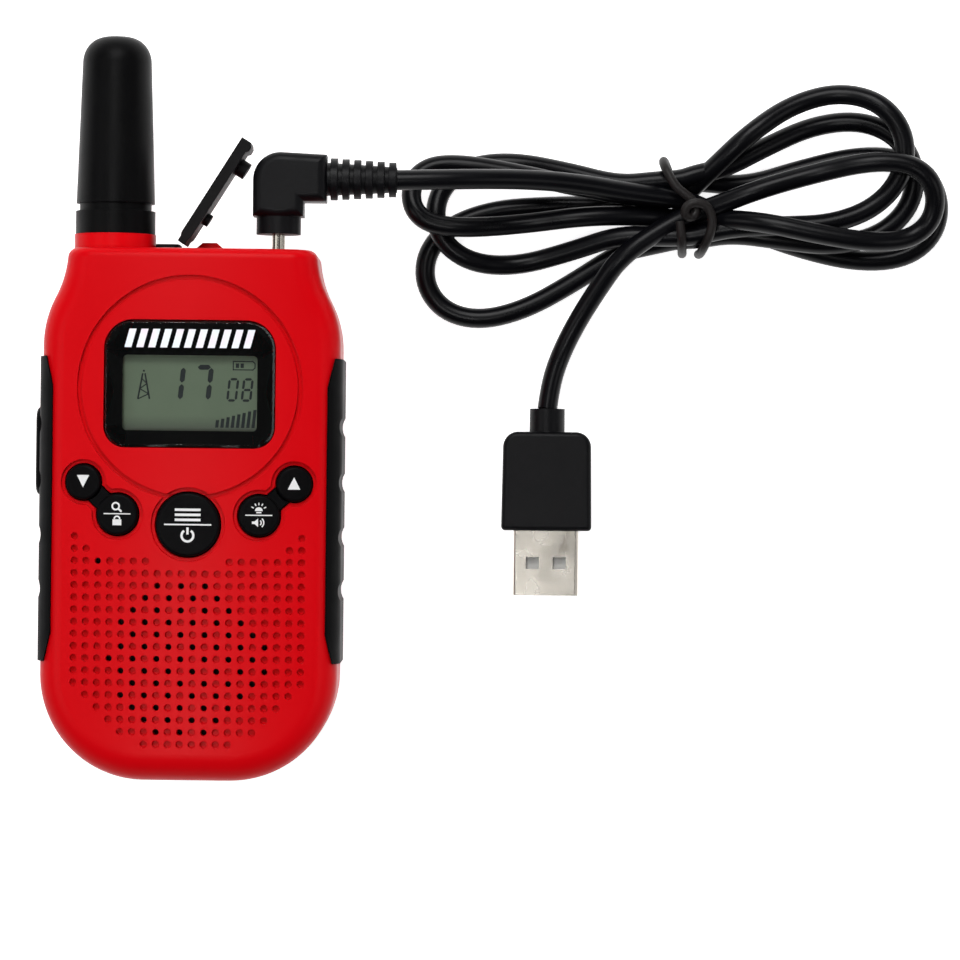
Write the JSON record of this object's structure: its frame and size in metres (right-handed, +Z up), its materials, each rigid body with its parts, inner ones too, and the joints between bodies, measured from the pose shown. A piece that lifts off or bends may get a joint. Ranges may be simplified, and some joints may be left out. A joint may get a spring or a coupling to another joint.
{
  "type": "toy walkie talkie",
  "caption": "Red toy two-way radio with side grips, display, keys, speaker grille, stub aerial, belt clip and a tied charging lead plugged into its top.",
  "frame": {"origin": "on the table under the middle of the radio, lying on its back on its belt clip; the charging lead isn't counted", "axes": "+Z up, out of the display; +Y along the aerial, towards its tip; +X to the right, seen from the front"},
  "size_m": [0.1684, 0.1342, 0.0345],
  "materials": {
    "red_plastic": "moulded, satin gloss",
    "grip_rubber": "moulded soft touch, matt",
    "black_plastic": "moulded, fine spark texture",
    "antenna_rubber": "moulded, matt",
    "cover_rubber": "moulded, matt",
    "key_rubber": "moulded silicone, printed legends",
    "clear_acrylic": "polished",
    "black_ink": "printed behind the lens",
    "display_glass": "reflective liquid crystal display",
    "circuit_board": "solder mask",
    "tinned_steel": "tinned sheet",
    "spring_steel": "bright drawn",
    "screw_steel": "black zinc",
    "magnet_alloy": "sintered",
    "cone_paper": "pressed",
    "dust_cloth": "open weave",
    "coil_wire": "enamelled",
    "turned_brass": "turned",
    "lamp_resin": "clear resin",
    "battery_wrap": "shrink film",
    "plug_pvc": "moulded, fine texture",
    "cord_pvc": "extruded, satin",
    "tie_plastic": "coated wire",
    "nickel_plate": "nickel plated",
    "white_plastic": "moulded"
  },
  "bodies": {
    "radio": {"front_shell": "red_plastic", "rear_shell": "red_plastic", "left_grip": "grip_rubber", "right_grip": "grip_rubber", "display_lens": "clear_acrylic", "lens_mask": "black_ink", "lcd_glass": "display_glass", "lcd_holder": "black_plastic", "main_board": "circuit_board", "shield_can": "tinned_steel", "keypad_mat": "key_rubber", "key_domes": "spring_steel", "ptt_switch": "black_plastic", "speaker_basket": "tinned_steel", "speaker_cone": "cone_paper", "speaker_magnet": "magnet_alloy", "speaker_cloth": "dust_cloth", "microphone": "tinned_steel", "mic_boot": "key_rubber", "antenna_sleeve": "antenna_rubber", "antenna_collar": "antenna_rubber", "antenna_coil": "coil_wire", "antenna_stud": "turned_brass", "antenna_nut": "turned_brass", "port_cover_anchor": "cover_rubber", "charge_jack": "black_plastic", "earphone_jack": "black_plastic", "lamp_led": "lamp_resin", "lamp_lens": "clear_acrylic", "battery_pack": "battery_wrap", "battery_contacts": "turned_brass", "clip_bracket": "black_plastic", "clip_pin": "spring_steel", "case_screws": "screw_steel", "board_screws": "screw_steel", "bracket_screws": "screw_steel"},
    "down_key": {"down_key": "key_rubber"},
    "scan_key": {"scan_key": "key_rubber"},
    "menu_key": {"menu_key": "key_rubber"},
    "lamp_key": {"lamp_key": "key_rubber"},
    "up_key": {"up_key": "key_rubber"},
    "ptt_button": {"ptt_button": "grip_rubber"},
    "port_cover": {"port_cover": "cover_rubber"},
    "belt_clip": {"belt_clip": "black_plastic", "clip_spring": "spring_steel"},
    "battery_door": {"battery_door": "red_plastic"},
    "charge_lead": {"charge_plug_body": "plug_pvc", "charge_plug_barrel": "nickel_plate", "cord_lead_in": "cord_pvc", "cord_hank": "cord_pvc", "cord_tail": "cord_pvc", "hank_tie": "tie_plastic", "usb_plug_body": "plug_pvc", "usb_shell": "nickel_plate", "usb_insert": "white_plastic"}
  },
  "joints": [
    {"name": "down_key_press", "type": "slide", "parent": "radio", "child": "down_key", "axis": [0, 0, -1], "range_m": [0, 0.0008], "stiffness_N_per_m": 600},
    {"name": "scan_key_press", "type": "slide", "parent": "radio", "child": "scan_key", "axis": [0, 0, -1], "range_m": [0, 0.0008], "stiffness_N_per_m": 600},
    {"name": "menu_key_press", "type": "slide", "parent": "radio", "child": "menu_key", "axis": [0, 0, -1], "range_m": [0, 0.0008], "stiffness_N_per_m": 600},
    {"name": "lamp_key_press", "type": "slide", "parent": "radio", "child": "lamp_key", "axis": [0, 0, -1], "range_m": [0, 0.0008], "stiffness_N_per_m": 600},
    {"name": "up_key_press", "type": "slide", "parent": "radio", "child": "up_key", "axis": [0, 0, -1], "range_m": [0, 0.0008], "stiffness_N_per_m": 600},
    {"name": "ptt_press", "type": "slide", "parent": "radio", "child": "ptt_button", "axis": [1, 0, 0], "range_m": [0, 0.0008], "stiffness_N_per_m": 900},
    {"name": "port_cover_hinge", "type": "hinge", "parent": "radio", "child": "port_cover", "pos_m": [-0.0025, 0.0295, 0.02125], "axis": [0, 0, 1], "range_deg": [0, 37]},
    {"name": "belt_clip_hinge", "type": "hinge", "parent": "radio", "child": "belt_clip", "pos_m": [0, 0.0113, 0.0046], "axis": [1, 0, 0], "range_deg": [0, 20], "stiffness_Nm_per_rad": 0.2, "springref_deg": -20.05},
    {"name": "battery_door_slide", "type": "slide", "parent": "radio", "child": "battery_door", "axis": [0, -1, 0], "range_m": [0, 0.012]},
    {"name": "charge_lead_pull", "type": "slide", "parent": "radio", "child": "charge_lead", "axis": [0, 1, 0], "range_m": [0, 0.012]}
  ]
}
